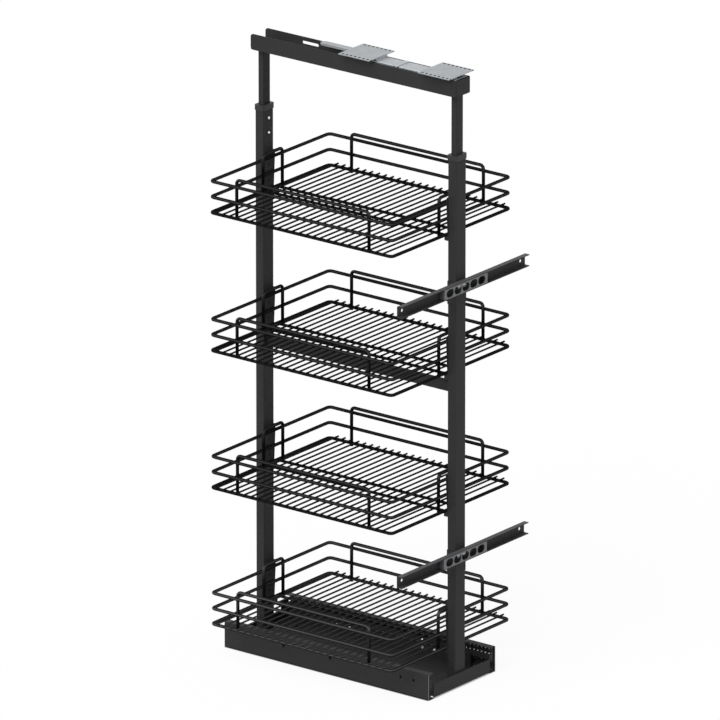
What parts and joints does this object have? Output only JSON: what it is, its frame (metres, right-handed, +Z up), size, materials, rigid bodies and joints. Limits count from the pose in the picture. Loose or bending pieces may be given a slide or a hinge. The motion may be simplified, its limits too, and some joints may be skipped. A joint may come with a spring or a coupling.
{
  "type": "pull out pantry frame",
  "caption": "Tall pull-out larder frame: telescopic base runner, two posts with hanging wire baskets, height-adjustable top rail with a roller guide, and door brackets on the front post.",
  "frame": {"origin": "middle of the floor screw pattern, on the cabinet floor", "axes": "+X to the right seen from the cabinet's front, +Y into the cabinet, +Z up"},
  "size_m": [0.405, 0.511, 1.2481],
  "materials": {
    "anthracite_steel": "matt anthracite powder coat on sheet and tube steel",
    "wire_coating": "satin near-black powder coat on round steel wire",
    "zinc_steel": "bright zinc plating",
    "screw_steel": "zinc plated screws",
    "ball_steel": "polished bearing balls",
    "black_plastic": "fine-grained moulded plastic",
    "nylon": "natural nylon",
    "rubber": "matt black rubber"
  },
  "bodies": {
    "base": {"outer_rail_left": "anthracite_steel", "outer_rail_right": "anthracite_steel", "front_strap": "anthracite_steel", "rear_strap": "anthracite_steel", "rear_buffers": "rubber", "outer_ball_strips": "black_plastic", "outer_balls": "ball_steel"},
    "mid_rails": {"mid_rail_left": "anthracite_steel", "mid_rail_right": "anthracite_steel", "mid_ball_strips": "black_plastic", "mid_balls": "ball_steel"},
    "carriage": {"carriage_tray": "anthracite_steel", "inner_rail_left": "anthracite_steel", "inner_rail_right": "anthracite_steel", "inner_ball_strips": "black_plastic", "inner_balls": "ball_steel", "tray_screws": "screw_steel", "front_foot": "anthracite_steel", "rear_foot": "anthracite_steel", "front_post": "anthracite_steel", "rear_post": "anthracite_steel", "front_collar": "black_plastic", "rear_collar": "black_plastic", "height_clamp_screws": "screw_steel", "crossbar": "anthracite_steel", "front_hangers": "anthracite_steel", "rear_hangers": "anthracite_steel", "frame_screws": "anthracite_steel", "upper_clamp_sleeve": "anthracite_steel", "lower_clamp_sleeve": "anthracite_steel", "upper_door_bracket": "anthracite_steel", "lower_door_bracket": "anthracite_steel", "upper_bracket_insert": "zinc_steel", "lower_bracket_insert": "zinc_steel", "bracket_screws": "screw_steel"},
    "top_frame": {"front_inner_tube": "anthracite_steel", "rear_inner_tube": "anthracite_steel", "tube_glides": "black_plastic", "front_saddle": "anthracite_steel", "rear_saddle": "anthracite_steel", "top_rail": "anthracite_steel"},
    "top_guide": {"front_guide_channel": "zinc_steel", "rear_guide_channel": "zinc_steel", "guide_clip": "zinc_steel", "front_guide_plate": "zinc_steel", "rear_guide_plate": "zinc_steel", "roller_pins": "zinc_steel"},
    "guide_roller_front": {"front_guide_roller": "nylon"},
    "guide_roller_rear": {"rear_guide_roller": "nylon"},
    "basket_1": {"basket_1_floor": "wire_coating", "basket_1_rails": "wire_coating"},
    "basket_2": {"basket_2_floor": "wire_coating", "basket_2_rails": "wire_coating"},
    "basket_3": {"basket_3_floor": "wire_coating", "basket_3_rails": "wire_coating"},
    "basket_4": {"basket_4_floor": "wire_coating", "basket_4_rails": "wire_coating"}
  },
  "joints": [
    {"name": "pull_out", "type": "slide", "parent": "base", "child": "carriage", "axis": [0, -1, 0], "range_m": [0, 0.42]},
    {"name": "mid_travel", "type": "slide", "parent": "base", "child": "mid_rails", "axis": [0, -1, 0], "range_m": [0, 0.21]},
    {"name": "height_adjust", "type": "slide", "parent": "carriage", "child": "top_frame", "axis": [0, 0, 1], "range_m": [-0.1, 0.15]},
    {"name": "guide_slide", "type": "slide", "parent": "top_frame", "child": "top_guide", "axis": [0, 1, 0], "range_m": [0, 0.42]},
    {"name": "front_roller_spin", "type": "hinge", "parent": "top_guide", "child": "guide_roller_front", "pos_m": [0, -0.222, 1.221], "axis": [0, 0, 1], "continuous": true},
    {"name": "rear_roller_spin", "type": "hinge", "parent": "top_guide", "child": "guide_roller_rear", "pos_m": [0, -0.176, 1.221], "axis": [0, 0, 1], "continuous": true},
    {"name": "basket_1_lift", "type": "slide", "parent": "carriage", "child": "basket_1", "axis": [0, 0, 1], "range_m": [0, 0.025]},
    {"name": "basket_2_lift", "type": "slide", "parent": "carriage", "child": "basket_2", "axis": [0, 0, 1], "range_m": [0, 0.025]},
    {"name": "basket_3_lift", "type": "slide", "parent": "carriage", "child": "basket_3", "axis": [0, 0, 1], "range_m": [0, 0.025]},
    {"name": "basket_4_lift", "type": "slide", "parent": "carriage", "child": "basket_4", "axis": [0, 0, 1], "range_m": [0, 0.025]}
  ],
  "couplings": [
    {"joint": "mid_travel", "follows": "pull_out", "ratio": 0.5},
    {"joint": "guide_slide", "follows": "pull_out", "ratio": 1}
  ]
}
